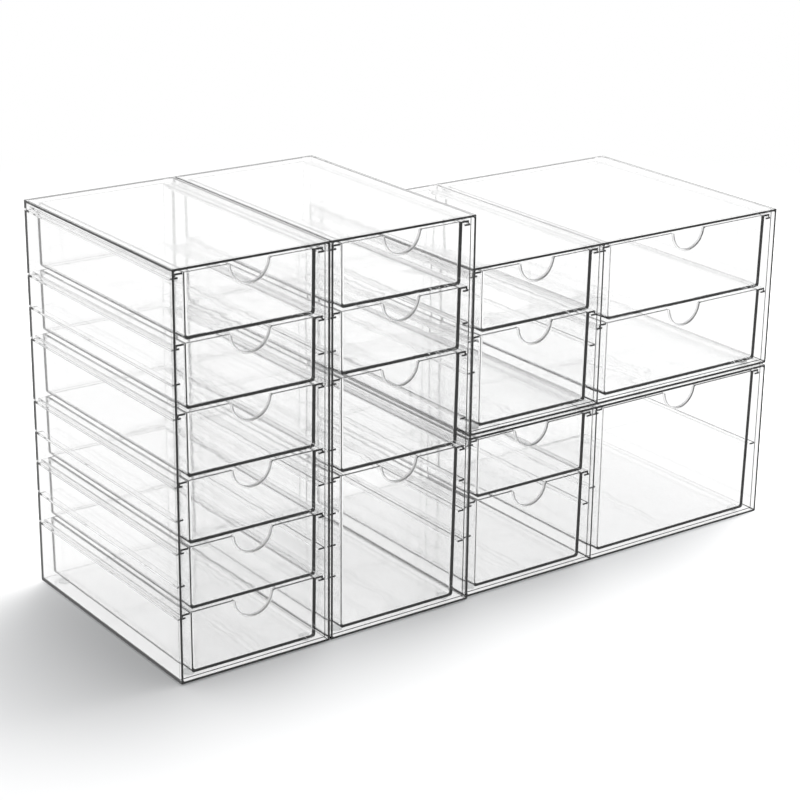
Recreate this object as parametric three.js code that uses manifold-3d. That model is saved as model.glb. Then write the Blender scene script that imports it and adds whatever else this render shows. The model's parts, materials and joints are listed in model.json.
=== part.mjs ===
// A desktop set of clear moulded organizer casings with drawers that slide on ledges.
// Two narrow towers stand on the left. On the right, one wide casing is stacked on another.
// Millimetres. X runs along the fronts, Y from front to back, Z up.
// The origin is under the middle of the set, on the surface that it stands on.
import * as THREE from 'three';
import { RoundedBoxGeometry } from 'three/addons/geometries/RoundedBoxGeometry.js';
import { mergeVertices } from 'three/addons/utils/BufferGeometryUtils.js';
import Module from 'manifold-3d';

const wasm = await Module();
wasm.setup();

// Casings
const casingDepth = 216;
const casingWall = 2.2;
const casingEdgeRadius = 2;
const narrowBayWidth = 122.4;
const wideBayWidth = 180;
const casingGap = 0.8; // between casings that stand side by side
const wideSetback = 3; // from the towers' front to the wide casings' front

// Heights are counted in units, one unit being the pitch of the lowest drawers
const unitHeight = 50;
const towerUnits = 6;
const wideUnits = 2.5;
const ceilingClearance = 2.3; // from the top drawer's rim to the casing's top panel
const drawerGap = 2; // from a drawer's bottom to the rim or the floor below it

// Where the ledges lie, in units below the top drawer's ledge
const towerLedgeUnits = [0, 1, 1.5, 2, 3, 3.5, 4, 4.5, 5];
const narrowBayLedgeUnits = [0, 1, 1.5];
const wideBayLedgeUnits = [0, 1.25];

// How tall the drawers are, in units, from the top down
const leftTowerDrawerUnits = [1, 1, 1, 1, 1, 1];
const middleTowerDrawerUnits = [1, 1, 1.5, 2.5];
const narrowBayDrawerUnits = [1, 1.5];
const upperWideBayDrawerUnits = [1.25, 1.25];
const lowerWideBayDrawerUnits = [2.5];

// Drawers
const sideSpace = 8; // from a bay's wall to the drawer's side, at the rim
const frontRecess = 3; // from the casing's front edge back to the drawer's front
const backClearance = 1;
const trayWall = 2;
const trayCornerRadius = 3;
const trayBottomRadius = 4.5;
const draftAngle = THREE.MathUtils.degToRad(0.5);
const notchRadius = 15.5;
const notchFilletRadius = 1.2;

// Flanges along the drawers' rims, with a lip turned down at the outer end
const flangeThickness = 1.5;
const flangeClearance = 1.5; // from the flange's outer end to the bay's wall
const lipDrop = 2.7; // from the rim to the lip's lower edge
const lipThickness = 1.2;

// Ledges that the lips slide on
const ledgeThickness = 1.4;
const ledgeFrontRecess = 4.5;
const ledgeTrayClearance = 3; // from the ledge's tip to the drawer's side
const runningClearance = 0.3; // from the lip to the ledge

// Feet
const footRadius = 4.5;
const footHeight = 1.5;
const footInset = 14; // from the casing's sides, front and back to the foot's centre

// How finely round shapes are cut
const edgeSegments = 2;
const cornerSegments = 3;
const bottomSegments = 3;
const notchSegments = 10;
const filletSegments = 3;
const footSegments = 20;
const overrun = 1; // how far a cutter runs past what it cuts

// What follows from the sizes above
const towerWidth = narrowBayWidth + 2 * casingWall;
const wideWidth = narrowBayWidth + wideBayWidth + 3 * casingWall;
const rimDrop = casingWall + ceilingClearance; // from a casing's top to its top drawer's rim
const ledgeReach = sideSpace - ledgeTrayClearance;
const drawerDepth = casingDepth - casingWall - backClearance - frontRecess;

function casingHeight(units) {
  return units * unitHeight + rimDrop + casingWall;
}

// Clear moulded plastic, and the softer clear plastic of the feet
const clearPlastic = new THREE.MeshStandardMaterial({
  color: 0xf3f7f8,
  roughness: 0.04,
  metalness: 0,
  transparent: true,
  opacity: 0.25,
});
const clearRubber = new THREE.MeshStandardMaterial({
  color: 0xe9eeee,
  roughness: 0.4,
  metalness: 0,
  transparent: true,
  opacity: 0.6,
});

// Turns a closed geometry into a solid that can be joined and cut
function toSolid(geometry) {
  geometry.deleteAttribute('normal');
  geometry.deleteAttribute('uv');
  const merged = mergeVertices(geometry);
  return new wasm.Manifold(new wasm.Mesh({
    numProp: 3,
    vertProperties: new Float32Array(merged.attributes.position.array),
    triVerts: new Uint32Array(merged.index.array),
  }));
}

function toMesh(name, solid, material) {
  const cut = solid.getMesh();
  const geometry = new THREE.BufferGeometry();
  geometry.setAttribute('position', new THREE.BufferAttribute(cut.vertProperties, cut.numProp));
  geometry.setIndex(new THREE.BufferAttribute(cut.triVerts, 1));
  geometry.computeVertexNormals();
  const mesh = new THREE.Mesh(geometry, material);
  mesh.name = name;
  return mesh;
}

// A block between two opposite corners
function block(low, high) {
  const size = high.map((value, axis) => value - low[axis]);
  const middle = high.map((value, axis) => (value + low[axis]) / 2);
  return toSolid(new THREE.BoxGeometry(...size).translate(...middle));
}

// One round of points at height z: a rectangle with rounded corners, drawn in by inset.
// It is centred across X, and its front lies at Y = inset.
function roundedRing(width, depth, radius, inset, z) {
  const farX = width / 2 - inset;
  const cornerRadius = Math.max(radius - inset, radius / 2);
  const corners = [
    [farX, depth - inset, 0],
    [-farX, depth - inset, 1],
    [-farX, inset, 2],
    [farX, inset, 3],
  ];
  const points = [];
  for (const [x, y, quarter] of corners) {
    const centreX = x - Math.sign(x) * cornerRadius;
    const centreY = quarter < 2 ? y - cornerRadius : y + cornerRadius;
    for (let step = 0; step <= cornerSegments; step += 1) {
      const angle = (quarter + step / cornerSegments) * Math.PI / 2;
      points.push([
        centreX + cornerRadius * Math.cos(angle),
        centreY + cornerRadius * Math.sin(angle),
        z,
      ]);
    }
  }
  return points;
}

// A closed solid through rings of equal count, listed from the bottom up
function loft(rings) {
  const count = rings[0].length;
  const indices = [];
  for (let level = 1; level < rings.length; level += 1) {
    for (let here = 0; here < count; here += 1) {
      const next = (here + 1) % count;
      const low = (level - 1) * count;
      const high = level * count;
      indices.push(low + here, low + next, high + next);
      indices.push(low + here, high + next, high + here);
    }
  }
  const top = (rings.length - 1) * count;
  for (let here = 1; here < count - 1; here += 1) {
    indices.push(0, here + 1, here);
    indices.push(top, top + here, top + here + 1);
  }
  const geometry = new THREE.BufferGeometry();
  geometry.setAttribute('position', new THREE.Float32BufferAttribute(rings.flat(2), 3));
  geometry.setIndex(indices);
  return toSolid(geometry);
}

// A bin that narrows downwards by the draft and has a rounded bottom edge.
// Its rim would be width by depth at Z = 0, and it runs from the floor up to the given top.
function taperedBin(width, depth, floor, top, cornerRadius, bottomRadius) {
  const rings = [];
  for (let step = 0; step <= bottomSegments; step += 1) {
    const angle = step / bottomSegments * Math.PI / 2;
    const z = floor + bottomRadius * (1 - Math.cos(angle));
    const inset = bottomRadius * (1 - Math.sin(angle)) - z * Math.tan(draftAngle);
    rings.push(roundedRing(width, depth, cornerRadius, inset, z));
  }
  rings.push(roundedRing(width, depth, cornerRadius, -top * Math.tan(draftAngle), top));
  return loft(rings);
}

// Casings

function casingShell(width, height) {
  const shell = new RoundedBoxGeometry(width, casingDepth, height, edgeSegments, casingEdgeRadius);
  return toSolid(shell.translate(width / 2, casingDepth / 2, height / 2));
}

// The hollow of one bay, open at the front
function bayHollow(bay, height) {
  return block(
    [bay.left, -overrun, casingWall],
    [bay.left + bay.width, casingDepth - casingWall, height - casingWall],
  );
}

// A pair of ledges, one on each wall of a bay
function ledgePair(bay, height, units) {
  const top = height - rimDrop - lipDrop - runningClearance - units * unitHeight;
  const right = bay.left + bay.width;
  const root = casingWall / 2; // how far the ledge runs into the walls that carry it
  const low = [ledgeFrontRecess, top - ledgeThickness];
  const high = [casingDepth - root, top];
  const leftLedge = block([bay.left - root, ...low], [bay.left + ledgeReach, ...high]);
  const rightLedge = block([right - ledgeReach, ...low], [right + root, ...high]);
  return leftLedge.add(rightLedge);
}

function makeCasing(name, width, height, bays) {
  let solid = casingShell(width, height);
  for (const bay of bays) {
    solid = solid.subtract(bayHollow(bay, height));
  }
  for (const bay of bays) {
    for (const units of bay.ledgeUnits) {
      solid = solid.add(ledgePair(bay, height, units));
    }
  }
  return toMesh(`${name}_casing`, solid, clearPlastic);
}

// Four round pads under a casing's corners
function makeFeet(name, width) {
  const feet = new THREE.Group();
  for (const [side, x] of [['left', footInset], ['right', width - footInset]]) {
    for (const [end, y] of [['front', footInset], ['back', casingDepth - footInset]]) {
      const disc = new THREE.CylinderGeometry(footRadius, footRadius, footHeight, footSegments);
      const foot = toMesh(`${name}_foot_${end}_${side}`, toSolid(disc), clearRubber);
      foot.rotation.x = Math.PI / 2;
      foot.position.set(x, y, -footHeight / 2);
      feet.add(foot);
    }
  }
  return feet;
}

// Drawers: X = 0 in the middle, Y = 0 at the front, Z = 0 at the rim

function drawerFlange(rimHalfWidth, side) {
  const outer = rimHalfWidth + sideSpace - flangeClearance;
  const inner = rimHalfWidth - trayCornerRadius;
  const sideways = (near, far) => (side > 0 ? [near, far] : [-far, -near]);
  const [plateLeft, plateRight] = sideways(inner, outer);
  const [lipLeft, lipRight] = sideways(outer - lipThickness, outer);
  const plate = block([plateLeft, 0, -flangeThickness], [plateRight, drawerDepth, 0]);
  const lip = block([lipLeft, 0, -lipDrop], [lipRight, drawerDepth, 0]);
  return plate.add(lip);
}

// A half round finger notch whose ends run out into the rim in small rounds
function fingerNotch() {
  const filletX = Math.sqrt((notchRadius + notchFilletRadius) ** 2 - notchFilletRadius ** 2);
  const filletAngle = Math.asin(notchFilletRadius / (notchRadius + notchFilletRadius));
  const points = [new THREE.Vector2(filletX, overrun), new THREE.Vector2(-filletX, overrun)];
  for (let step = 0; step <= filletSegments; step += 1) {
    const angle = Math.PI / 2 - step / filletSegments * (Math.PI / 2 + filletAngle);
    points.push(new THREE.Vector2(
      -filletX + notchFilletRadius * Math.cos(angle),
      -notchFilletRadius + notchFilletRadius * Math.sin(angle),
    ));
  }
  for (let step = 1; step < notchSegments; step += 1) {
    const angle = Math.PI + filletAngle + step / notchSegments * (Math.PI - 2 * filletAngle);
    points.push(new THREE.Vector2(notchRadius * Math.cos(angle), notchRadius * Math.sin(angle)));
  }
  for (let step = filletSegments; step >= 0; step -= 1) {
    const angle = Math.PI / 2 + step / filletSegments * (Math.PI / 2 + filletAngle);
    points.push(new THREE.Vector2(
      filletX + notchFilletRadius * Math.cos(angle),
      -notchFilletRadius + notchFilletRadius * Math.sin(angle),
    ));
  }
  const cutter = new THREE.ExtrudeGeometry(new THREE.Shape(points), {
    depth: trayCornerRadius + trayWall + overrun,
    bevelEnabled: false,
  });
  return toSolid(cutter.rotateX(Math.PI / 2).translate(0, trayCornerRadius + trayWall, 0));
}

function makeDrawer(name, bayWidth, units) {
  const width = bayWidth - 2 * sideSpace;
  const height = units * unitHeight - drawerGap;
  const outer = taperedBin(width, drawerDepth, -height, 0, trayCornerRadius, trayBottomRadius);
  const innerCornerRadius = trayCornerRadius - trayWall / 2;
  const innerBottomRadius = trayBottomRadius - trayWall / 2;
  const hollow = taperedBin(
    width - 2 * trayWall,
    drawerDepth - 2 * trayWall,
    trayWall - height,
    overrun,
    innerCornerRadius,
    innerBottomRadius,
  ).translate([0, trayWall, 0]);
  const solid = outer
    .add(drawerFlange(width / 2, 1))
    .add(drawerFlange(width / 2, -1))
    .subtract(hollow)
    .subtract(fingerNotch());
  return toMesh(name, solid, clearPlastic);
}

// Hangs a bay's drawers on their ledges, from the top down
function fillBay(name, bay, height, drawerUnits) {
  const drawers = new THREE.Group();
  let unitsDown = 0;
  drawerUnits.forEach((units, index) => {
    const drawerName = drawerUnits.length > 1 ? `${name}_drawer_${index + 1}` : `${name}_drawer`;
    const drawer = makeDrawer(drawerName, bay.width, units);
    drawer.position.set(
      bay.left + bay.width / 2,
      frontRecess,
      height - rimDrop - unitsDown * unitHeight,
    );
    drawers.add(drawer);
    unitsDown += units;
  });
  return drawers;
}

// Whole casings, each placed by its lower left front corner

function makeTower(name, drawerUnits) {
  const height = casingHeight(towerUnits);
  const bay = { left: casingWall, width: narrowBayWidth, ledgeUnits: towerLedgeUnits };
  const tower = new THREE.Group();
  tower.add(makeCasing(name, towerWidth, height, [bay]));
  tower.add(makeFeet(name, towerWidth));
  tower.add(fillBay(name, bay, height, drawerUnits));
  return tower;
}

function makeWideCasing(name, wideBayDrawerUnits) {
  const height = casingHeight(wideUnits);
  const narrowBay = {
    left: casingWall,
    width: narrowBayWidth,
    ledgeUnits: narrowBayLedgeUnits,
  };
  const wideBay = {
    left: 2 * casingWall + narrowBayWidth,
    width: wideBayWidth,
    ledgeUnits: wideBayLedgeUnits,
  };
  const casing = new THREE.Group();
  casing.add(makeCasing(`${name}_wide`, wideWidth, height, [narrowBay, wideBay]));
  casing.add(makeFeet(`${name}_wide`, wideWidth));
  casing.add(fillBay(`${name}_narrow`, narrowBay, height, narrowBayDrawerUnits));
  casing.add(fillBay(`${name}_wide`, wideBay, height, wideBayDrawerUnits));
  return casing;
}

// The whole set
const setWidth = 2 * towerWidth + wideWidth + 2 * casingGap;
const towerFront = -(casingDepth + wideSetback) / 2;
const leftTowerX = -setWidth / 2;
const middleTowerX = leftTowerX + towerWidth + casingGap;
const wideX = middleTowerX + towerWidth + casingGap;

const organizer = new THREE.Group();

const leftTower = makeTower('left_tower', leftTowerDrawerUnits);
leftTower.position.set(leftTowerX, towerFront, footHeight);
organizer.add(leftTower);

const middleTower = makeTower('middle_tower', middleTowerDrawerUnits);
middleTower.position.set(middleTowerX, towerFront, footHeight);
organizer.add(middleTower);

const lowerCasing = makeWideCasing('lower', lowerWideBayDrawerUnits);
lowerCasing.position.set(wideX, towerFront + wideSetback, footHeight);
organizer.add(lowerCasing);

const upperCasing = makeWideCasing('upper', upperWideBayDrawerUnits);
upperCasing.position.set(
  wideX,
  towerFront + wideSetback,
  footHeight + casingHeight(wideUnits) + footHeight,
);
organizer.add(upperCasing);

export default organizer;
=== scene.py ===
"""Looks of a desktop set of clear organizer casings with drawers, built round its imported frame."""

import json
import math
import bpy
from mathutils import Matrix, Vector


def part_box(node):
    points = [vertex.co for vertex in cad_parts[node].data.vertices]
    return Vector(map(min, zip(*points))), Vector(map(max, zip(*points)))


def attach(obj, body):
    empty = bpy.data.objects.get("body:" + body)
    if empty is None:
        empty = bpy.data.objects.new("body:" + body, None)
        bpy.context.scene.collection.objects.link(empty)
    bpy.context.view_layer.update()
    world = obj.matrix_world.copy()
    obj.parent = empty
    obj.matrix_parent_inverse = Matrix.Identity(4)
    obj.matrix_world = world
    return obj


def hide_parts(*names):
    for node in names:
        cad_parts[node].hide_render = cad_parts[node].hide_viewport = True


bl_info = {
    "name": "Clear organizer drawers",
    "version": (1, 0, 0),
    "blender": (4, 5, 0),
    "location": "View3D > Sidebar > Organizer",
    "description": "Builds the moulded casings, drawers and pads of a clear organizer set",
    "category": "Add Mesh",
}

import bmesh
import bpy
from bpy.props import FloatProperty, FloatVectorProperty, IntProperty, PointerProperty
from mathutils import Matrix, Vector

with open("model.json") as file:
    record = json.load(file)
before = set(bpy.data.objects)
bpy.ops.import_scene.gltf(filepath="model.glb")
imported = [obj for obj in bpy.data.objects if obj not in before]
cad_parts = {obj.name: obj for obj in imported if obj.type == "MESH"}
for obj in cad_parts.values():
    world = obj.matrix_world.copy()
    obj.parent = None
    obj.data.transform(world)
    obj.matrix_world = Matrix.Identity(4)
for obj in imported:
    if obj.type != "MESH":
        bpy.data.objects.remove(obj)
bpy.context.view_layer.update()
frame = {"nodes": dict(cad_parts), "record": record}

BODIES = frame["record"]["behaviour"]["bodies"]
NODES = sorted(frame["nodes"])
TOWER_CASINGS = ("left_tower_casing", "middle_tower_casing")
WIDE_CASINGS = ("lower_wide_casing", "upper_wide_casing")
WIDE_DRAWERS = [node for node in NODES if "wide_drawer" in node]
NARROW_DRAWERS = [node for node in NODES if "drawer" in node and node not in WIDE_DRAWERS]
PADS = [node for node in NODES if "_foot_" in node]
QUARTER_TURN = math.pi / 2
TOWER_LEDGE_UNITS = (0, 1, 1.5, 2, 3, 3.5, 4, 4.5, 5)
NARROW_BAY_LEDGE_UNITS = (0, 1, 1.5)
WIDE_BAY_LEDGE_UNITS = (0, 1.25)
WHITE = (1, 1, 1, 1)
WELD_DISTANCE = 1e-7
MILLIMETRES = 1000
PANELS_LIGHT_CROSSES = 64
MIRRORINGS_IN_A_WALL = 8
WAVE_DETAIL = 1
HANDLING_DETAIL = 4
GRAIN_DETAIL = 2
HANDLING_START = 0.5
HANDLING_END = 0.75
# Up-facing outside faces past this start get dust haze and also a painted reflection that whitens
# them
DUST_AND_PAINTED_REFLECTION_START = 0.9


def length(name, description, default):
    """A size in metres, shown in the units of the scene."""
    return FloatProperty(
        name=name, description=description, default=default, min=0, precision=5, unit="LENGTH"
    )


def number(name, description, default):
    """A plain number, such as a share or a level."""
    return FloatProperty(name=name, description=description, default=default)


def count(name, description, default, fewest):
    """How many faces a rounding gets."""
    return IntProperty(name=name, description=description, default=default, min=fewest)


def degrees(name, description, default):
    """An angle, given in degrees."""
    return FloatProperty(
        name=name, description=description, default=math.radians(default), subtype="ANGLE"
    )


def colour(name, description, default):
    """A colour, given as its red, green and blue."""
    return FloatVectorProperty(
        name=name, description=description, default=(*default, 1), size=4, min=0, max=1,
        subtype="COLOR",
    )


class CasingSizes(bpy.types.PropertyGroup):
    """Sizes of the casings that the frame's boxes don't give."""

    wall: length("Wall", "Thickness of the casing's panels", 0.0022)
    edge_radius: length("Edge radius", "Rounding of the long outer edges", 0.0003)
    back_radius: length("Back radius", "Rounding of the edges round the back panel", 0.0004)
    rim_radius: length("Rim radius", "Rounding of the front rim's outer edge", 0.0002)
    mouth_radius: length("Mouth radius", "Rounding of the front rim's inner edge", 0.0002)
    mouth_step: length("Mouth step", "How much wider a bay is in front of its ledges", 0.0004)
    bay_radius: length("Bay radius", "Rounding inside the bay's long corners", 0.0008)
    bay_back_radius: length(
        "Bay back radius", "Rounding where the bay meets the back panel", 0.0006
    )
    narrow_bay: length("Narrow bay", "Clear width of a bay for narrow drawers", 0.1224)
    rim_drop: length("Rim drop", "From the casing's top to its top drawer's rim", 0.0045)
    ledge_drop: length("Ledge drop", "From a drawer's rim to the ledge that carries it", 0.003)
    unit: length("Unit", "Pitch of the lowest drawers", 0.05)
    ledge_reach: length("Ledge reach", "How far a ledge stands out from its wall", 0.005)
    ledge_thickness: length("Ledge thickness", "Thickness of a ledge", 0.0014)
    ledge_recess: length("Ledge recess", "From the casing's front to the ledge's front", 0.0045)
    ledge_radius: length("Ledge radius", "Rounding of a ledge's tip", 0.0002)
    ledge_end_radius: length("Ledge end radius", "Rounding of a ledge's front end", 0.00015)
    ledge_root_radius: length("Ledge root radius", "Fillet where a ledge leaves its wall", 0.0003)
    edge_steps: count("Edge steps", "Faces round an edge", 7, 2)
    small_steps: count("Small steps", "Faces round a fillet", 3, 1)


class DrawerSizes(bpy.types.PropertyGroup):
    """Sizes of the drawers that the frame's boxes don't give."""

    wall: length("Wall", "Thickness of the tray's walls", 0.002)
    flange_width: length("Flange width", "From the tray's side to the flange's outer end", 0.0065)
    corner_radius: length("Corner radius", "Rounding of the tray's upright edges", 0.0003)
    inner_corner_radius: length("Inner corner radius", "Fillet of the upright inner corners", 0.001)
    bottom_radius: length("Bottom radius", "Rounding along the tray's bottom at its sides", 0.003)
    toe_radius: length("Toe radius", "Rounding along the tray's bottom at front and back", 0.001)
    rim_radius: length("Rim radius", "Rounding of the rim's inner edge", 0.0002)
    brow_radius: length("Brow radius", "Rounding of the rim's outer edge", 0.0005)
    draft: degrees("Draft", "How far the tray's walls lean in towards the bottom", 0.5)
    notch_radius: length("Notch radius", "Radius of the finger notch", 0.0155)
    notch_fillet: length("Notch fillet", "Rounding where the notch runs out into the rim", 0.002)
    collar_width: length("Collar width", "Width of the thick rim round the notch", 0.0016)
    collar_height: length("Collar height", "How far the notch's rim stands in", 0.0012)
    collar_radius: length("Collar radius", "Rounding of the collar's edges", 0.0003)
    collar_fade: length("Collar fade", "How far beside the notch the collar has run out", 0.0002)
    flange_thickness: length("Flange thickness", "Thickness of the flange", 0.0015)
    flange_recess: length("Flange recess", "From the tray's front to the flange's front", 0.0009)
    flange_radius: length("Flange radius", "Rounding of the flange's edges", 0.0002)
    flange_end_radius: length("Flange end radius", "Rounding of the flange's ends", 0.00015)
    lip_drop: length("Lip drop", "From the rim to the lower edge of the lip", 0.0027)
    lip_thickness: length("Lip thickness", "Thickness of the flange's lip", 0.0012)
    corner_steps: count("Corner steps", "Faces round a corner", 9, 2)
    bottom_steps: count("Bottom steps", "Faces up the bottom", 10, 2)
    notch_steps: count("Notch steps", "Faces round the notch", 44, 8)
    brow_steps: count("Brow steps", "Faces over the brow", 7, 2)
    small_steps: count("Small steps", "Faces round a fillet", 3, 1)


class PadSizes(bpy.types.PropertyGroup):
    """Sizes of the pads under the casings."""

    edge_radius: length("Edge radius", "Rounding of the pad's edges", 0.0003)
    glue_gap: length("Glue gap", "Between the pad and the casing", 0.00004)
    round_steps: count("Round steps", "Faces round the pad", 48, 8)
    edge_steps: count("Edge steps", "Faces round an edge", 3, 1)


class ClearLook(bpy.types.PropertyGroup):
    """How the clear plastics look."""

    ior: number("IOR", "How strongly the plastic bends light", 1.49)
    shine: number("Shine", "How strongly the surface mirrors, 0.5 being full", 0.5)
    body_tint: colour(
        "Body tint", "Colour that a long way through the plastic turns to", (0.2, 0.24, 0.25)
    )
    body_density: number("Body density", "How much a metre of the plastic takes out", 1.2)
    shadow_tint: colour(
        "Shadow tint",
        "Share of a lamp's light that each surface lets through",
        (0.92, 0.921, 0.922),
    )
    wave_length: length("Wave length", "Size of the waves that moulding leaves", 0.035)
    wall_waves: length("Wall waves", "Height of the waves in upright panels", 0.0001)
    floor_waves: length("Floor waves", "Height of the waves in the drawers' floors", 0.0004)
    top_waves: length("Top waves", "Height of the waves in the casings' level panels", 0.0002)
    polish: number("Polish", "Roughness of a clean surface", 0.0)
    wear: number("Wear", "Roughness of a handled surface", 0.008)
    notch_wear: number("Notch wear", "Roughness that fingers gave the edges of the notches", 0.6)
    notch_reach: length("Notch reach", "How far the wear runs out beside a notch", 0.001)
    casing_haze: number("Casing haze", "Roughness that dust gives the casings' tops", 0.05)
    drawer_haze: number("Drawer haze", "Roughness that dust gives the drawers' floors", 0.02)
    # These two shares are painted reflection: up-facing outside faces scatter that much light white,
    # standing in for bright light mirrored on casing tops and drawer floors
    casing_dust_share: number("Casing dust share", "Light that the casings' tops scatter white, a painted reflection", 0.14)
    drawer_dust_share: number("Drawer dust share", "Light that the drawers' floors scatter white, a painted reflection", 0.1)
    handling_scale: number("Handling scale", "Handled patches to a metre", 60)
    grain_scale: number("Grain scale", "Grains of the pads' frosting to a metre", 2500)
    grain_height: length("Grain height", "Height of the pads' frosting", 0.00003)
    pad_colour: colour("Pad colour", "Colour of the pads' soft plastic", (0.9, 0.92, 0.92))
    pad_clear_share: number("Pad clear share", "Light that runs through the pads", 0.8)
    pad_polish: number("Pad polish", "Lowest roughness of pads", 0.25)
    pad_frost: number("Pad frost", "Highest roughness of pads", 0.5)


class StageLook(bpy.types.PropertyGroup):
    """The floor, the light and the camera."""

    floor_reach: length("Floor reach", "From the middle of the floor to its sides", 12)
    floor_colour: colour("Floor colour", "Colour of the pale floor", (0.863, 0.865, 0.867))
    fade_start: length("Fade start", "Where the floor starts to run out to white", 0.7)
    fade_end: length("Fade end", "Where the floor is white", 1.4)
    inner_white_share: number(
        "Inner white share", "Share of white in the floor that is seen through the plastic", 0.87
    )
    sky_level: number("Sky level", "Plain light from all round", 0.6)
    ceiling_level: number("Ceiling level", "How bright the ceiling looks in the plastic", 0.05)
    ceiling_start: degrees(
        "Ceiling start", "Height above the horizon at which the ceiling starts to darken", 24
    )
    ceiling_full: degrees(
        "Ceiling full", "Height above the horizon at which the ceiling is darkest", 42
    )
    key_power: number("Key power", "Power of the key lamp", 74)
    key_size: length("Key size", "Side of the square key lamp", 1.6)
    key_distance: length("Key distance", "From the set to the key lamp", 2.2)
    key_azimuth: degrees(
        "Key azimuth", "Direction of the key lamp, from the front round to the right", 114
    )
    key_elevation: degrees("Key elevation", "Height of the key lamp over the horizon", 59)
    lens: FloatProperty(name="Lens", description="Focal length", default=99.62, unit="CAMERA")
    camera_place: FloatVectorProperty(
        name="Camera place",
        description="Where the camera stands",
        default=(-0.9832, -1.3378, 0.7285),
        subtype="TRANSLATION",
    )
    camera_azimuth: degrees(
        "Camera azimuth", "Turn of the camera's view to the right of straight back", 35.898
    )
    camera_elevation: degrees("Camera elevation", "How far the camera looks down", 19.938)
    camera_roll: degrees("Camera roll", "Turn of the camera about its line of sight", 0.733)


# Mesh helpers


def quarter(steps):
    """Angles from nothing to a quarter turn."""
    return [step / steps * QUARTER_TURN for step in range(steps + 1)]


def rounding(steps):
    """Shares of its radius that a rounding is back from each of the two faces that it joins."""
    return [(1 - math.cos(angle), 1 - math.sin(angle)) for angle in quarter(steps)]


def corner(centre, radius, turns, steps):
    """Points of a quarter circle, anticlockwise from that many quarter turns."""
    points = []
    for angle in quarter(steps):
        angle += turns * QUARTER_TURN
        points.append((centre[0] + radius * math.cos(angle), centre[1] + radius * math.sin(angle)))
    return points


def box_outline(low, high, radius, steps, going_up=(), going_down=()):
    """A rectangle with rounded corners, anticlockwise from its lower left corner.
    going_up and going_down are more points on its right and left side."""
    left, right = low[0] + radius, high[0] - radius
    bottom, top = low[1] + radius, high[1] - radius
    return [
        *corner((left, bottom), radius, 2, steps),
        *corner((right, bottom), radius, 3, steps),
        *going_up,
        *corner((right, top), radius, 0, steps),
        *corner((left, top), radius, 1, steps),
        *going_down,
    ]


def add_ring(mesh, points):
    """New vertices at the points."""
    return [mesh.verts.new(point) for point in points]


def skin(mesh, near, far):
    """Faces between two closed rings of as many vertices."""
    for here in range(len(near)):
        there = (here + 1) % len(near)
        mesh.faces.new((near[here], near[there], far[there], far[here]))


def loft(mesh, rings):
    """A closed solid through the rings, with flat ends."""
    skins = [add_ring(mesh, ring) for ring in rings]
    for near, far in zip(skins, skins[1:]):
        skin(mesh, near, far)
    mesh.faces.new(skins[0])
    mesh.faces.new(skins[-1])


def ring_edges(mesh, ring):
    """The edges of a closed ring of vertices."""
    return [mesh.edges.get((ring[here - 1], ring[here])) for here in range(len(ring))]


def finish_mesh(mesh, name):
    """Cleans the mesh, turns its faces outwards and hands it over."""
    bmesh.ops.remove_doubles(mesh, verts=mesh.verts, dist=WELD_DISTANCE)
    bmesh.ops.dissolve_degenerate(mesh, edges=mesh.edges, dist=WELD_DISTANCE)
    bmesh.ops.recalc_face_normals(mesh, faces=mesh.faces)
    data = bpy.data.meshes.new(name)
    mesh.to_mesh(data)
    mesh.free()
    return data


def join_solids(first, second):
    """One mesh that fills what either mesh fills."""
    body = bpy.data.objects.new("body_being_joined", first)
    extra = bpy.data.objects.new("extra_being_joined", second)
    for thing in (body, extra):
        bpy.context.collection.objects.link(thing)
    union = body.modifiers.new("Union", "BOOLEAN")
    union.operation = "UNION"
    union.solver = "EXACT"
    union.object = extra
    scene_state = bpy.context.evaluated_depsgraph_get()
    joined = bpy.data.meshes.new_from_object(body.evaluated_get(scene_state))
    joined.name = first.name
    for thing in (body, extra):
        bpy.data.objects.remove(thing)
    bpy.data.meshes.remove(second)
    return joined


# Pieces


def body_of(node):
    """The body that carries a node."""
    for body, nodes in BODIES.items():
        if node in nodes:
            return body
    raise ValueError(f"no body carries {node}")


def place_piece(name, data, node, place, material):
    """Puts a finished mesh in the place of its node, on the node's body."""
    piece = bpy.data.objects.new(name, data)
    bpy.context.collection.objects.link(piece)
    piece.location = place
    if not data.materials:
        data.materials.append(material)
    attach(piece, body_of(node))
    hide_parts(node)
    return piece


# Casings


def ledge_section(wall_x, side, top, sizes, wall_grow, ledge_grow):
    """Outline of a ledge's section, from below its root, round its tip, to above its root.
    side is 1 where it reaches to the right. The grow lengths thicken the wall and the ledge."""
    root = sizes.ledge_root_radius
    high = top + ledge_grow
    low = top - sizes.ledge_thickness - ledge_grow
    reach = sizes.ledge_reach + ledge_grow
    tip = sizes.ledge_radius + ledge_grow
    section = []
    for back, drop in rounding(sizes.small_steps):
        section.append((wall_grow + root * back, low - root * drop))
    for back, drop in rounding(sizes.small_steps):
        section.append((reach - tip * drop, low + tip * back))
    for back, drop in rounding(sizes.small_steps):
        section.append((reach - tip * back, high - tip * drop))
    for back, drop in rounding(sizes.small_steps):
        section.append((wall_grow + root * drop, high + root * back))
    return [(wall_x + side * away, z) for away, z in section]


def bay_outline(bay, height, sizes, wall_grow, ledge_grow):
    """A bay's section with its ledges, drawn in on all sides by wall_grow."""
    left, right = bay["left"], bay["left"] + bay["width"]
    going_up = []
    going_down = []
    for top in sorted(bay["ledge_tops"]):
        going_up += ledge_section(right, -1, top, sizes, wall_grow, ledge_grow)
        left_ledge = ledge_section(left, 1, top, sizes, wall_grow, ledge_grow)
        going_down = left_ledge[::-1] + going_down
    return box_outline(
        (left + wall_grow, sizes.wall + wall_grow),
        (right - wall_grow, height - sizes.wall - wall_grow),
        sizes.bay_radius - wall_grow,
        sizes.small_steps,
        going_up,
        going_down,
    )


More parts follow.
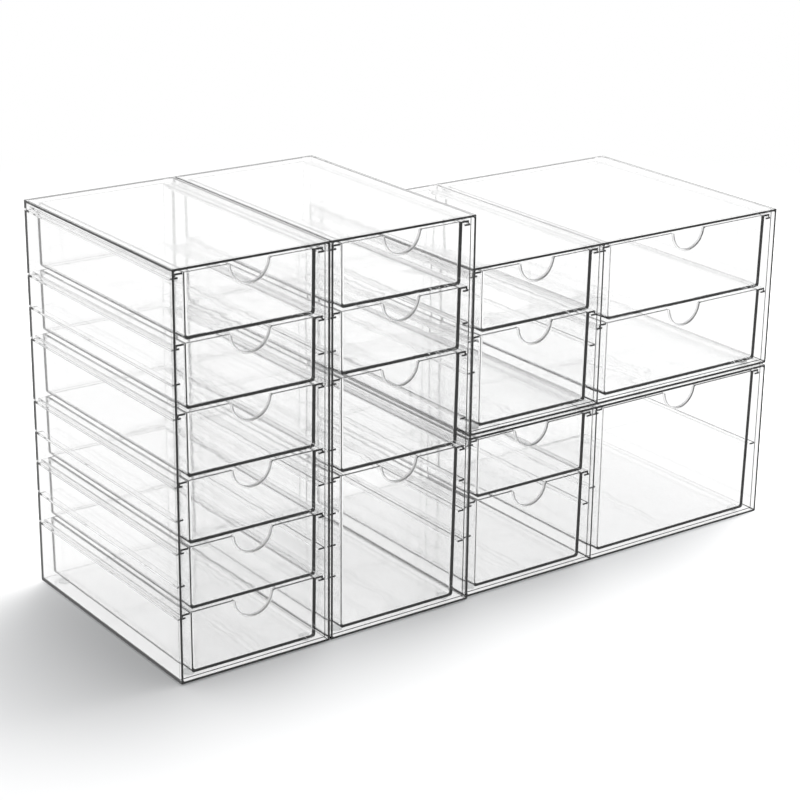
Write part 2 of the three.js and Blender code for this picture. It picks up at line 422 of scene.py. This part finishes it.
def ledge_spans(bay, sizes):
    """For each ledge in a bay's outline, the places of its first and last point."""
    corner_points = sizes.small_steps + 1
    ledge_points = 4 * corner_points
    spans = []
    for start in (2 * corner_points, 4 * corner_points + len(bay["ledge_tops"]) * ledge_points):
        for ledge in range(len(bay["ledge_tops"])):
            first = start + ledge * ledge_points
            spans.append((first, first + ledge_points - 1))
    return spans


def without_ledges(outline, spans):
    """The outline with only the two ends of each ledge left, on the wall."""
    hidden = set()
    for first, last in spans:
        hidden.update(range(first + 1, last))
    return [point for place, point in enumerate(outline) if place not in hidden]


def add_bay(mesh, bay, depth, height, sizes):
    """The inside of one bay. Gives back the ring of vertices at its mouth."""
    spans = ledge_spans(bay, sizes)

    def at(y, outline):
        return [(x, y, z) for x, z in outline]

    rings = []
    end = sizes.ledge_end_radius
    mouth = []
    for back, drop in rounding(sizes.small_steps + 1):
        grow = -sizes.mouth_step - sizes.mouth_radius * drop
        mouth.append((sizes.mouth_radius * back, grow))
    mouth.append((sizes.ledge_recess - 2 * sizes.mouth_step, -sizes.mouth_step))
    mouth.append((sizes.ledge_recess - sizes.mouth_step, 0))
    for y, grow in mouth:
        outline = bay_outline(bay, height, sizes, grow, -end)
        rings.append(add_ring(mesh, at(y, without_ledges(outline, spans))))
    for near, far in zip(rings, rings[1:]):
        skin(mesh, near, far)
    outline = bay_outline(bay, height, sizes, 0, -end)
    ledge_front = add_ring(mesh, at(sizes.ledge_recess, outline))
    skin(mesh, rings[-1], without_ledges(ledge_front, spans))
    for first, last in spans:
        mesh.faces.new(ledge_front[first : last + 1])
    back = depth - sizes.wall
    near = ledge_front
    sections = []
    for in_from_front, short in rounding(sizes.small_steps)[1:]:
        y = sizes.ledge_recess + end * in_from_front
        sections.append((y, bay_outline(bay, height, sizes, 0, -end * short)))
    for inwards, short in rounding(sizes.small_steps):
        grow = sizes.bay_back_radius * inwards
        y = back - sizes.bay_back_radius * short
        sections.append((y, bay_outline(bay, height, sizes, grow, grow)))
    for y, outline in sections:
        far = add_ring(mesh, at(y, outline))
        skin(mesh, near, far)
        near = far
    mesh.faces.new(near)
    return rings[0]


def casing_mesh(name, size, bays, sizes):
    """One casing with its bays and ledges. X = 0 at its left, Y = 0 at its front, Z = 0 below."""
    width, depth, height = size
    mesh = bmesh.new()

    def shell_ring(y, inset):
        outline = box_outline(
            (inset, inset),
            (width - inset, height - inset),
            max(sizes.edge_radius - inset, sizes.rim_radius / 2),
            sizes.edge_steps,
        )
        return add_ring(mesh, [(x, y, z) for x, z in outline])

    rings = []
    for back, drop in rounding(sizes.edge_steps - 2):
        rings.append(shell_ring(sizes.rim_radius * back, sizes.rim_radius * drop))
    for back, drop in rounding(sizes.edge_steps - 1):
        rings.append(shell_ring(depth - sizes.back_radius * drop, sizes.back_radius * back))
    for near, far in zip(rings, rings[1:]):
        skin(mesh, near, far)
    mesh.faces.new(rings[-1])
    front = ring_edges(mesh, rings[0])
    for bay in bays:
        front += ring_edges(mesh, add_bay(mesh, bay, depth, height, sizes))
    bmesh.ops.triangle_fill(mesh, use_beauty=True, use_dissolve=False, edges=front)
    return finish_mesh(mesh, name)


def ledge_tops(height, units_down, sizes):
    """Heights of the ledges that lie so many units under the top one."""
    first = height - sizes.rim_drop - sizes.ledge_drop
    return [first - units * sizes.unit for units in units_down]


def make_casings(context, nodes):
    """Builds each of the casings in the place of its node."""
    sizes = context.scene.casing_sizes
    material = casing_plastic(context)
    for node in nodes:
        low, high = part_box(node)
        size = high - low
        bays = [{
            "left": sizes.wall,
            "width": sizes.narrow_bay,
            "ledge_tops": ledge_tops(size.z, TOWER_LEDGE_UNITS, sizes),
        }]
        if node in WIDE_CASINGS:
            bays[0]["ledge_tops"] = ledge_tops(size.z, NARROW_BAY_LEDGE_UNITS, sizes)
            left = 2 * sizes.wall + sizes.narrow_bay
            bays.append({
                "left": left,
                "width": size.x - sizes.wall - left,
                "ledge_tops": ledge_tops(size.z, WIDE_BAY_LEDGE_UNITS, sizes),
            })
        name = f"{node}_moulding"
        data = casing_mesh(name, size, bays, sizes)
        place_piece(name, data, node, low, material)


# Drawers


def notch_edge(sizes):
    """Edge of the finger notch from left to right, as x, z and the direction into the wall."""
    radius, fillet = sizes.notch_radius, sizes.notch_fillet
    fillet_x = math.sqrt((radius + fillet) ** 2 - fillet**2)
    lean = math.asin(fillet / (radius + fillet))
    left = []
    for step in range(sizes.small_steps + 2):
        angle = QUARTER_TURN - step / (sizes.small_steps + 1) * (QUARTER_TURN + lean)
        across, up = math.cos(angle), math.sin(angle)
        left.append((fillet * across - fillet_x, fillet * (up - 1), -across, -up))
    middle = []
    for step in range(1, sizes.notch_steps):
        angle = math.pi + lean + step / sizes.notch_steps * (math.pi - 2 * lean)
        across, up = math.cos(angle), math.sin(angle)
        middle.append((radius * across, radius * up, across, up))
    right = [(-x, z, -across, up) for x, z, across, up in left[::-1]]
    return left + middle + right


class Tray:
    """A drawer's tray: X = 0 in the middle, Y = 0 at the front, Z = 0 at the rim."""

    def __init__(self, width, depth, height, sizes):
        self.width, self.depth, self.height = width, depth, height
        self.sizes = sizes
        self.slope = math.tan(sizes.draft)
        edge = [(*point, 1) for point in notch_edge(sizes)]
        ends = []
        for x, z, across, down, _ in (edge[0], edge[-1]):
            ends.append((x + math.copysign(sizes.collar_fade, x), z, across, down, 0))
        self.edge = [ends[0], *edge, ends[1]]

    def ring(self, inset, drop, radius, under_notch=None, toe=None, collar=None):
        """One round of points, in by inset and down by drop. It follows the notch, unless
        under_notch says how far beyond the notch's edge its points spread out below the rim:
        at the collar's ends, and along it. toe is how far in it lies at the front and back,
        where that isn't inset. collar is how far in and down it lies along the collar."""
        toe = inset if toe is None else toe
        points = []
        for x, z, across, down, share in self.edge:
            near = toe
            if under_notch is None:
                away = drop
                if collar and share:
                    near, away = collar
                x, z = x + across * away, z + down * away
            else:
                x, z = x + across * under_notch[share], -drop
            points.append((x, near - z * self.slope, z))
        inset += drop * self.slope
        toe += drop * self.slope
        outline = box_outline(
            (inset - self.width / 2, toe),
            (self.width / 2 - inset, self.depth - toe),
            radius,
            self.sizes.corner_steps,
        )
        first = self.sizes.corner_steps + 1
        outline = outline[first:] + outline[:first]
        return points + [(x, y, -drop) for x, y in outline]

    def rings(self):
        """Rings up the outside, over the rim and down the inside."""
        sizes = self.sizes
        wall, inner, outer = sizes.wall, sizes.inner_corner_radius, sizes.corner_radius
        brow, rim = sizes.brow_radius, sizes.rim_radius
        rings = self.bottom_rings(0, sizes.bottom_radius, outer, (brow, brow))
        for back, drop in rounding(sizes.brow_steps):
            rings.append(self.ring(brow * back, brow * drop, outer))
        collar_back = wall + sizes.collar_height
        fillet = sizes.collar_radius
        for back, drop in rounding(sizes.small_steps)[::-1]:
            collar = collar_back - fillet * back, fillet * drop
            rings.append(self.ring(wall - rim * back, rim * drop, inner, collar=collar))
        for back, drop in rounding(sizes.small_steps):
            collar = collar_back - fillet * back, sizes.collar_width - fillet * drop
            rings.append(self.ring(wall, rim, inner, collar=collar))
        rings.append(self.ring(wall, rim, inner, collar=(wall, sizes.collar_width)))
        spread = (rim, sizes.collar_width)
        inside = self.bottom_rings(wall, sizes.bottom_radius - wall / 2, inner, spread)
        return rings + inside[::-1]

    def bottom_rings(self, wall, side_radius, corner_radius, under_notch):
        """Rings up the rounding round the bottom, in and up by the wall."""
        toe_radius = self.sizes.toe_radius
        rings = []
        for back, drop in rounding(self.sizes.bottom_steps):
            rise = side_radius * back
            below = max(1 - rise / toe_radius, 0)
            toe = toe_radius * (1 - math.sqrt(1 - below**2))
            place = wall + side_radius * drop, self.height - wall - rise
            rings.append(self.ring(*place, corner_radius, under_notch, wall + toe))
        return rings


def flange_section(half_width, side, sizes, inset):
    """Section of a flange with its turned down lip, drawn in on its free sides by inset."""
    radius = sizes.flange_radius
    outer = sizes.flange_width - inset
    inner = sizes.flange_width - sizes.lip_thickness + inset
    under = inset - sizes.flange_thickness
    foot = inset - sizes.lip_drop
    free = max(radius - inset, radius / 4)
    root = -(sizes.wall + sizes.brow_radius) / 2
    section = [(root, under)]
    for back, drop in rounding(sizes.small_steps):
        section.append((inner - radius * drop, under - radius * back))
    for back, drop in rounding(sizes.small_steps):
        section.append((inner + free * back, foot + free * drop))
    for back, drop in rounding(sizes.small_steps):
        section.append((outer - free * drop, foot + free * back))
    for back, drop in rounding(sizes.small_steps):
        section.append((outer - free * back, -inset - free * drop))
    section.append((root, -inset))
    return [(side * (half_width + away), z) for away, z in section]


def flange_mesh(width, depth, sizes):
    """Both flanges of a drawer."""
    mesh = bmesh.new()
    end = sizes.flange_end_radius
    for side in (-1, 1):
        rings = []
        for back, drop in rounding(sizes.small_steps):
            rings.append((sizes.flange_recess + end * back, end * drop))
        rings += [(depth - y, inset) for y, inset in rings[::-1]]
        loft(mesh, [
            [(x, y, z) for x, z in flange_section(width / 2, side, sizes, inset)]
            for y, inset in rings
        ])
    return finish_mesh(mesh, "flanges")


def drawer_mesh(name, width, depth, height, sizes):
    """A drawer: its tray with the flanges joined on."""
    tray = Tray(width, depth, height, sizes)
    mesh = bmesh.new()
    loft(mesh, tray.rings())
    tray_data = finish_mesh(mesh, name)
    drawer = join_solids(tray_data, flange_mesh(width, depth, sizes))
    bpy.data.meshes.remove(tray_data)
    return drawer


def make_drawers(context, nodes):
    """Builds each of the drawers in the place of its node. Drawers of one size share a mesh."""
    sizes = context.scene.drawer_sizes
    material = drawer_plastic(context)
    made = {}
    for node in nodes:
        low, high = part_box(node)
        size = high - low
        key = tuple(round(side * MILLIMETRES) for side in size)
        if key not in made:
            width = size.x - 2 * sizes.flange_width
            name = "drawer_" + "_".join(str(side) for side in key)
            made[key] = drawer_mesh(name, width, size.y, size.z, sizes)
        place = Vector(((low.x + high.x) / 2, low.y, high.z))
        place_piece(f"{node}_moulding", made[key], node, place, material)


# Pads


def pad_mesh(size, sizes):
    """A round pad with rounded edges. X = Y = 0 in its middle, Z = 0 below."""
    mesh = bmesh.new()
    edge = sizes.edge_radius
    top = size.z - sizes.glue_gap
    levels = [(edge * back, edge * drop) for back, drop in rounding(sizes.edge_steps)]
    levels += [(top - z, inset) for z, inset in levels[::-1]]
    rings = []
    for z, inset in levels:
        ring = []
        for step in range(sizes.round_steps):
            angle = step / sizes.round_steps * 2 * math.pi
            radius = size.x / 2 - inset
            ring.append((radius * math.cos(angle), radius * math.sin(angle), z))
        rings.append(ring)
    loft(mesh, rings)
    return finish_mesh(mesh, "pad")


def make_pads(context):
    """Builds the pads under the casings."""
    sizes = context.scene.pad_sizes
    material = clear_rubber(context)
    data = None
    for node in PADS:
        low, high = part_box(node)
        if data is None:
            data = pad_mesh(high - low, sizes)
        place = Vector(((low.x + high.x) / 2, (low.y + high.y) / 2, low.z))
        place_piece(f"{node}_pad", data, node, place, material)


# Materials


def add_node(tree, kind, **values):
    """A shader node with its settings, or its inputs where a name isn't a setting."""
    node = tree.nodes.new(kind)
    for name, value in values.items():
        socket = name.replace("_", " ")
        if hasattr(node, name):
            setattr(node, name, value)
        else:
            node.inputs[socket].default_value = value
    return node


def new_material(name):
    """An empty node material and its output."""
    material = bpy.data.materials.new(name)
    material.use_nodes = True
    tree = material.node_tree
    tree.nodes.clear()
    return material, tree, tree.nodes.new("ShaderNodeOutputMaterial")


def calculate(tree, operation, first, second):
    """A value worked out from two others."""
    result = add_node(tree, "ShaderNodeMath", operation=operation)
    tree.links.new(first, result.inputs[0])
    tree.links.new(second, result.inputs[1])
    return result.outputs["Value"]


def blend(tree, share, first, second):
    """A shader that runs from the first to the second as the share runs from 0 to 1."""
    mixed = tree.nodes.new("ShaderNodeMixShader")
    tree.links.new(share, mixed.inputs["Fac"])
    tree.links.new(first, mixed.inputs[1])
    tree.links.new(second, mixed.inputs[2])
    return mixed.outputs["Shader"]


def piece_coordinates(tree):
    """Places on a piece, shifted by a different length for each piece so that no two match."""
    link = tree.links.new
    places = tree.nodes.new("ShaderNodeTexCoord")
    about = tree.nodes.new("ShaderNodeObjectInfo")
    spread = add_node(tree, "ShaderNodeVectorMath", operation="SCALE")
    spread.inputs[0].default_value = (1, 1, 1)
    shift = add_node(tree, "ShaderNodeVectorMath", operation="ADD")
    link(about.outputs["Random"], spread.inputs["Scale"])
    link(places.outputs["Object"], shift.inputs[0])
    link(spread.outputs["Vector"], shift.inputs[1])
    return shift.outputs["Vector"]


def level_share(tree, normal):
    """How level a surface is, from 0 where it is upright to 1, and how far it faces up."""
    parts = tree.nodes.new("ShaderNodeSeparateXYZ")
    tree.links.new(normal, parts.inputs["Vector"])
    share = add_node(tree, "ShaderNodeMath", operation="ABSOLUTE")
    tree.links.new(parts.outputs["Z"], share.inputs[0])
    return share.outputs["Value"], parts.outputs["Z"]


def spread_between(tree, value, low, high, start=0, end=1):
    """Runs from low to high as the value runs from start to end."""
    spread = add_node(tree, "ShaderNodeMapRange")
    spread.inputs["From Min"].default_value = start
    spread.inputs["From Max"].default_value = end
    spread.inputs["To Min"].default_value = low
    spread.inputs["To Max"].default_value = high
    tree.links.new(value, spread.inputs["Value"])
    return spread.outputs["Result"]


def notch_share(tree, sizes, reach):
    """How near a place is to the edge of a drawer's finger notch: 1 on it, 0 beyond the reach."""
    link = tree.links.new
    places = tree.nodes.new("ShaderNodeTexCoord")
    parts = tree.nodes.new("ShaderNodeSeparateXYZ")
    section = tree.nodes.new("ShaderNodeCombineXYZ")
    away = add_node(tree, "ShaderNodeVectorMath", operation="LENGTH")
    link(places.outputs["Object"], parts.inputs["Vector"])
    link(parts.outputs["X"], section.inputs["X"])
    link(parts.outputs["Z"], section.inputs["Z"])
    link(section.outputs["Vector"], away.inputs[0])
    edge = sizes.notch_radius + sizes.rim_radius
    round_notch = spread_between(tree, away.outputs["Value"], 1, 0, edge, edge + reach)
    wall_back = sizes.wall + sizes.collar_height + reach
    in_front = spread_between(tree, parts.outputs["Y"], 1, 0, wall_back, wall_back + reach)
    return calculate(tree, "MULTIPLY", round_notch, in_front)


def clear_plastic(context, name, level_waves, painted_reflection_share, haze, notched=False):
    """A hard clear plastic: slightly wavy, a little worn, and darker the longer light runs in it.
    level_waves is the height of the waves in level panels. Where the outside of a piece faces
    up, haze is the roughness that dust gives it, and a share of the light is scattered white,
    a painted reflection that stands in for bright light mirrored on the tops. A notched piece is
    worn at its notch."""
    look = context.scene.clear_look
    material, tree, output = new_material(name)
    link = tree.links.new
    plastic = tree.nodes.new("ShaderNodeBsdfPrincipled")
    plastic.inputs["Base Color"].default_value = WHITE
    plastic.inputs["IOR"].default_value = look.ior
    plastic.inputs["Specular IOR Level"].default_value = look.shine
    places = piece_coordinates(tree)
    faces = tree.nodes.new("ShaderNodeNewGeometry")
    level, upward = level_share(tree, faces.outputs["True Normal"])

    waves = add_node(tree, "ShaderNodeTexNoise", Scale=1 / look.wave_length, Detail=WAVE_DETAIL)
    relief = add_node(tree, "ShaderNodeBump", Strength=1)
    link(places, waves.inputs["Vector"])
    link(waves.outputs["Fac"], relief.inputs["Height"])
    link(spread_between(tree, level, look.wall_waves, level_waves), relief.inputs["Distance"])
    link(relief.outputs["Normal"], plastic.inputs["Normal"])

    handling = add_node(
        tree, "ShaderNodeTexNoise", Scale=look.handling_scale, Detail=HANDLING_DETAIL
    )
    link(places, handling.inputs["Vector"])
    patches = spread_between(
        tree, handling.outputs["Fac"], look.polish, look.wear, HANDLING_START, HANDLING_END
    )
    outside = spread_between(tree, faces.outputs["Backfacing"], 1, 0)
    facing_up = spread_between(tree, upward, 0, 1, DUST_AND_PAINTED_REFLECTION_START, 1)
    # Up-facing outside faces: dust haze in the roughness, and a painted reflection in the white
    # scattering below
    dust_and_painted_reflection = calculate(tree, "MULTIPLY", facing_up, outside)
    roughness = calculate(tree, "ADD", patches, spread_between(tree, dust_and_painted_reflection, 0, haze))
    if notched:
        share = notch_share(tree, context.scene.drawer_sizes, look.notch_reach)
        worn_notch = spread_between(tree, share, 0, look.notch_wear)
        roughness = calculate(tree, "MAXIMUM", roughness, worn_notch)
    link(roughness, plastic.inputs["Roughness"])
    # Painted reflection: up-facing outside faces let less light through and scatter it white
    # instead, standing in for bright light mirrored on them
    clearness = spread_between(tree, dust_and_painted_reflection, 1, 1 - painted_reflection_share)
    link(clearness, plastic.inputs["Transmission Weight"])

    shadow_rays = tree.nodes.new("ShaderNodeLightPath").outputs["Is Shadow Ray"]
    see_through = add_node(tree, "ShaderNodeBsdfTransparent", Color=look.shadow_tint)
    surface = blend(tree, shadow_rays, plastic.outputs["BSDF"], see_through.outputs["BSDF"])
    link(surface, output.inputs["Surface"])

    depth = add_node(tree, "ShaderNodeVolumeAbsorption", Color=look.body_tint)
    depth.inputs["Density"].default_value = look.body_density
    link(depth.outputs["Volume"], output.inputs["Volume"])
    return material


def casing_plastic(context):
    """The casings' plastic: dust haze on top, and a painted reflection that whitens the tops."""
    look = context.scene.clear_look
    name = "clear_casing_plastic"
    made = bpy.data.materials.get(name)
    if made:
        return made
    return clear_plastic(context, name, look.top_waves, look.casing_dust_share, look.casing_haze)


def drawer_plastic(context):
    """The drawers' plastic, wavier in the floors."""
    look = context.scene.clear_look
    name = "clear_drawer_plastic"
    made = bpy.data.materials.get(name)
    if made:
        return made
    # The drawers' floors get a painted reflection as well: white scattering on their up-facing
    # outside faces
    return clear_plastic(
        context, name, look.floor_waves, look.drawer_dust_share, look.drawer_haze, notched=True
    )


def clear_rubber(context):
    """The soft frosted plastic of the pads."""
    look = context.scene.clear_look
    material, tree, output = new_material("clear_rubber_frosted")
    link = tree.links.new
    rubber = tree.nodes.new("ShaderNodeBsdfPrincipled")
    rubber.inputs["Base Color"].default_value = look.pad_colour
    rubber.inputs["Transmission Weight"].default_value = look.pad_clear_share
    rubber.inputs["IOR"].default_value = look.ior
    grain = add_node(tree, "ShaderNodeTexNoise", Scale=look.grain_scale, Detail=GRAIN_DETAIL)
    relief = add_node(tree, "ShaderNodeBump", Strength=1, Distance=look.grain_height)
    link(piece_coordinates(tree), grain.inputs["Vector"])
    link(grain.outputs["Fac"], relief.inputs["Height"])
    link(relief.outputs["Normal"], rubber.inputs["Normal"])
    roughness = spread_between(tree, grain.outputs["Fac"], look.pad_polish, look.pad_frost)
    link(roughness, rubber.inputs["Roughness"])
    link(rubber.outputs["BSDF"], output.inputs["Surface"])
    return material


# Stage


def seen_rays(tree):
    """1 for rays that look: straight from the camera, reflected, or bent by the plastic.
    The second value is 1 only for those straight from the camera."""
    rays = tree.nodes.new("ShaderNodeLightPath").outputs
    some = calculate(tree, "MAXIMUM", rays["Is Camera Ray"], rays["Is Glossy Ray"])
    every = calculate(tree, "MAXIMUM", some, rays["Is Transmission Ray"])
    return every, rays["Is Camera Ray"]


def make_floor(look):
    """A wide pale floor that keeps the set's shadow and runs out to white."""
    mesh = bmesh.new()
    reach = look.floor_reach
    for x, y in ((-reach, -reach), (reach, -reach), (reach, reach), (-reach, reach)):
        mesh.verts.new((x, y, 0))
    mesh.faces.new(mesh.verts)
    floor = bpy.data.objects.new("floor", finish_mesh(mesh, "floor"))
    bpy.context.collection.objects.link(floor)
    material, tree, output = new_material("pale_floor")
    link = tree.links.new
    paint = add_node(tree, "ShaderNodeBsdfDiffuse", Color=look.floor_colour)
    white = add_node(tree, "ShaderNodeEmission", Color=WHITE, Strength=1)
    places = tree.nodes.new("ShaderNodeTexCoord")
    away = add_node(tree, "ShaderNodeVectorMath", operation="LENGTH")
    fade = add_node(tree, "ShaderNodeMapRange", interpolation_type="SMOOTHSTEP")
    fade.inputs["From Min"].default_value = look.fade_start
    fade.inputs["From Max"].default_value = look.fade_end
    seen, straight = seen_rays(tree)
    near_white = spread_between(tree, straight, look.inner_white_share, 0)
    link(near_white, fade.inputs["To Min"])
    link(places.outputs["Object"], away.inputs[0])
    link(away.outputs["Value"], fade.inputs["Value"])
    whiteness = calculate(tree, "MULTIPLY", fade.outputs["Result"], seen)
    surface = blend(tree, whiteness, paint.outputs["BSDF"], white.outputs["Emission"])
    link(surface, output.inputs["Surface"])
    floor.data.materials.append(material)


def make_world(look):
    """Plain light all round. The plastic also sees a white horizon under a dark ceiling."""
    world = bpy.data.worlds.new("studio")
    world.use_nodes = True
    bpy.context.scene.world = world
    tree = world.node_tree
    tree.nodes.clear()
    link = tree.links.new
    output = tree.nodes.new("ShaderNodeOutputWorld")
    plain = add_node(tree, "ShaderNodeBackground", Color=WHITE, Strength=look.sky_level)
    surroundings = add_node(tree, "ShaderNodeBackground", Color=WHITE)
    directions = tree.nodes.new("ShaderNodeTexCoord")
    parts = tree.nodes.new("ShaderNodeSeparateXYZ")
    ceiling = add_node(tree, "ShaderNodeMapRange", interpolation_type="SMOOTHSTEP")
    ceiling.inputs["From Min"].default_value = math.sin(look.ceiling_start)
    ceiling.inputs["From Max"].default_value = math.sin(look.ceiling_full)
    ceiling.inputs["To Min"].default_value = 1
    ceiling.inputs["To Max"].default_value = look.ceiling_level
    link(directions.outputs["Generated"], parts.inputs["Vector"])
    link(parts.outputs["Z"], ceiling.inputs["Value"])
    seen, straight = seen_rays(tree)
    level = calculate(tree, "MAXIMUM", ceiling.outputs["Result"], straight)
    link(level, surroundings.inputs["Strength"])
    light = blend(tree, seen, plain.outputs["Background"], surroundings.outputs["Background"])
    link(light, output.inputs["Surface"])


def make_key_lamp(look):
    """A large soft lamp from the right and behind, which the plastic doesn't show."""
    lamp = bpy.data.lights.new("key_lamp", "AREA")
    lamp.size = look.key_size
    lamp.energy = look.key_power
    holder = bpy.data.objects.new("key_lamp", lamp)
    bpy.context.collection.objects.link(holder)
    flat = look.key_distance * math.cos(look.key_elevation)
    holder.location = (
        flat * math.sin(look.key_azimuth),
        -flat * math.cos(look.key_azimuth),
        look.key_distance * math.sin(look.key_elevation),
    )
    holder.rotation_euler = (-holder.location).to_track_quat("-Z", "Y").to_euler()
    holder.visible_camera = False
    holder.visible_glossy = False
    holder.visible_transmission = False


def make_camera(look):
    """The camera, placed as the photograph's was."""
    camera = bpy.data.cameras.new("camera")
    camera.lens = look.lens
    camera.clip_end = 4 * look.floor_reach
    holder = bpy.data.objects.new("camera", camera)
    bpy.context.collection.objects.link(holder)
    azimuth, elevation, roll = look.camera_azimuth, look.camera_elevation, look.camera_roll
    ahead = Vector((
        math.sin(azimuth) * math.cos(elevation),
        math.cos(azimuth) * math.cos(elevation),
        -math.sin(elevation),
    ))
    level = Vector((math.cos(azimuth), -math.sin(azimuth), 0))
    upright = level.cross(ahead)
    across = math.cos(roll) * level + math.sin(roll) * upright
    up = math.cos(roll) * upright - math.sin(roll) * level
    turn = Matrix((across, up, -ahead)).transposed().to_4x4()
    holder.matrix_world = Matrix.Translation(look.camera_place) @ turn
    bpy.context.scene.camera = holder


def set_light_paths(scene):
    """Lets light run through many panels, and soft shadows fall through them."""
    scene.view_settings.view_transform = "Standard"
    scene.cycles.max_bounces = PANELS_LIGHT_CROSSES
    scene.cycles.transmission_bounces = PANELS_LIGHT_CROSSES
    scene.cycles.glossy_bounces = MIRRORINGS_IN_A_WALL
    scene.cycles.transparent_max_bounces = 2 * PANELS_LIGHT_CROSSES
    scene.cycles.caustics_reflective = False
    scene.cycles.caustics_refractive = False


# Operators and panel


class ORGANIZER_OT_stage(bpy.types.Operator):
    """Make the floor, the light and the camera"""

    bl_idname = "organizer.stage"
    bl_label = "Stage"

    def execute(self, context):
        look = context.scene.stage_look
        make_camera(look)
        make_floor(look)
        make_world(look)
        make_key_lamp(look)
        set_light_paths(context.scene)
        return {"FINISHED"}


class ORGANIZER_OT_tower_casings(bpy.types.Operator):
    """Make the casings of the two towers"""

    bl_idname = "organizer.tower_casings"
    bl_label = "Tower casings"

    def execute(self, context):
        make_casings(context, TOWER_CASINGS)
        return {"FINISHED"}


class ORGANIZER_OT_wide_casings(bpy.types.Operator):
    """Make the two wide casings, one on the other"""

    bl_idname = "organizer.wide_casings"
    bl_label = "Wide casings"

    def execute(self, context):
        make_casings(context, WIDE_CASINGS)
        return {"FINISHED"}


class ORGANIZER_OT_narrow_drawers(bpy.types.Operator):
    """Make the drawers of the towers and the narrow bays"""

    bl_idname = "organizer.narrow_drawers"
    bl_label = "Narrow drawers"

    def execute(self, context):
        make_drawers(context, NARROW_DRAWERS)
        return {"FINISHED"}


class ORGANIZER_OT_wide_drawers(bpy.types.Operator):
    """Make the drawers of the wide bays"""

    bl_idname = "organizer.wide_drawers"
    bl_label = "Wide drawers"

    def execute(self, context):
        make_drawers(context, WIDE_DRAWERS)
        return {"FINISHED"}


class ORGANIZER_OT_pads(bpy.types.Operator):
    """Make the pads under the casings"""

    bl_idname = "organizer.pads"
    bl_label = "Pads"

    def execute(self, context):
        make_pads(context)
        return {"FINISHED"}


class ORGANIZER_PT_panel(bpy.types.Panel):
    """Lists the steps that build the set"""

    bl_label = "Organizer"
    bl_idname = "ORGANIZER_PT_panel"
    bl_space_type = "VIEW_3D"
    bl_region_type = "UI"
    bl_category = "Organizer"

    def draw(self, context):
        column = self.layout.column()
        for operator in OPERATORS:
            column.operator(operator.bl_idname)
        for group in GROUPS:
            for name in group.__annotations__:
                column.prop(getattr(context.scene, GROUPS[group]), name)


GROUPS = {
    CasingSizes: "casing_sizes",
    DrawerSizes: "drawer_sizes",
    PadSizes: "pad_sizes",
    ClearLook: "clear_look",
    StageLook: "stage_look",
}
OPERATORS = (
    ORGANIZER_OT_stage,
    ORGANIZER_OT_tower_casings,
    ORGANIZER_OT_wide_casings,
    ORGANIZER_OT_narrow_drawers,
    ORGANIZER_OT_wide_drawers,
    ORGANIZER_OT_pads,
)
CLASSES = (*GROUPS, *OPERATORS, ORGANIZER_PT_panel)


def register():
    for cls in CLASSES:
        bpy.utils.register_class(cls)
    for group, name in GROUPS.items():
        setattr(bpy.types.Scene, name, PointerProperty(type=group))


def unregister():
    for name in GROUPS.values():
        delattr(bpy.types.Scene, name)
    for cls in reversed(CLASSES):
        bpy.utils.unregister_class(cls)


def main():
    register()
    bpy.ops.organizer.stage()
    bpy.ops.organizer.tower_casings()
    bpy.ops.organizer.wide_casings()
    bpy.ops.organizer.narrow_drawers()
    bpy.ops.organizer.wide_drawers()
    bpy.ops.organizer.pads()


if __name__ == "__main__":
    main()
